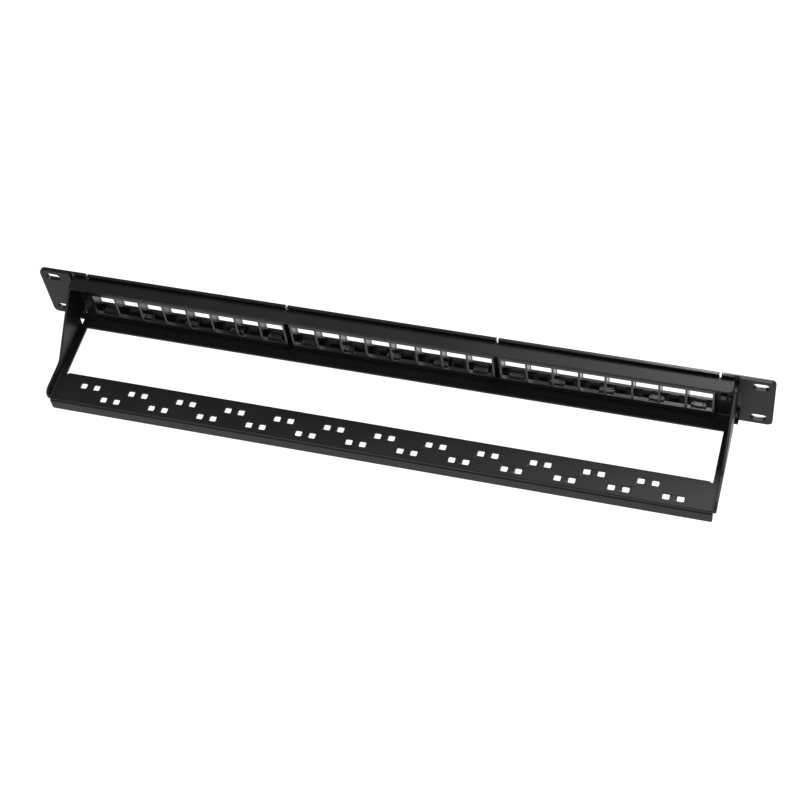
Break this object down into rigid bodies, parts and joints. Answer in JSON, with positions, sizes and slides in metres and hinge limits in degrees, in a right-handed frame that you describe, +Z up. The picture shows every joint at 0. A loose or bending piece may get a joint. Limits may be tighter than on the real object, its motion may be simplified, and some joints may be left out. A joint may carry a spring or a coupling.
{
  "type": "patch panel",
  "caption": "Rack patch panel with banks of empty snap-in ports, label strips and a removable rear cable tray with tie holes.",
  "frame": {"origin": "centre of the four rack screw slots, on the rear face of the rack ears", "axes": "+X to the right seen from the front, +Y to the rear, +Z up"},
  "size_m": [0.4826, 0.0749, 0.0515],
  "materials": {
    "powder_coated_steel": "satin black powder coat",
    "black_moulded_plastic": "moulded, semi-gloss",
    "label_card": "matt white card",
    "clear_plastic": "clear moulded plastic"
  },
  "bodies": {
    "panel": {"rack_panel": "powder_coated_steel", "port_frame_left": "black_moulded_plastic", "front_bezel_left": "black_moulded_plastic", "label_card_left": "label_card", "label_cover_left": "clear_plastic", "port_frame_centre": "black_moulded_plastic", "front_bezel_centre": "black_moulded_plastic", "label_card_centre": "label_card", "label_cover_centre": "clear_plastic", "port_frame_right": "black_moulded_plastic", "front_bezel_right": "black_moulded_plastic", "label_card_right": "label_card", "label_cover_right": "clear_plastic", "end_trim_left": "black_moulded_plastic", "end_trim_right": "black_moulded_plastic"},
    "tray": {"cable_tray": "powder_coated_steel"}
  },
  "joints": [
    {"name": "tray_slide", "type": "slide", "parent": "panel", "child": "tray", "axis": [0, 1, 0], "range_m": [0, 0.012]}
  ]
}
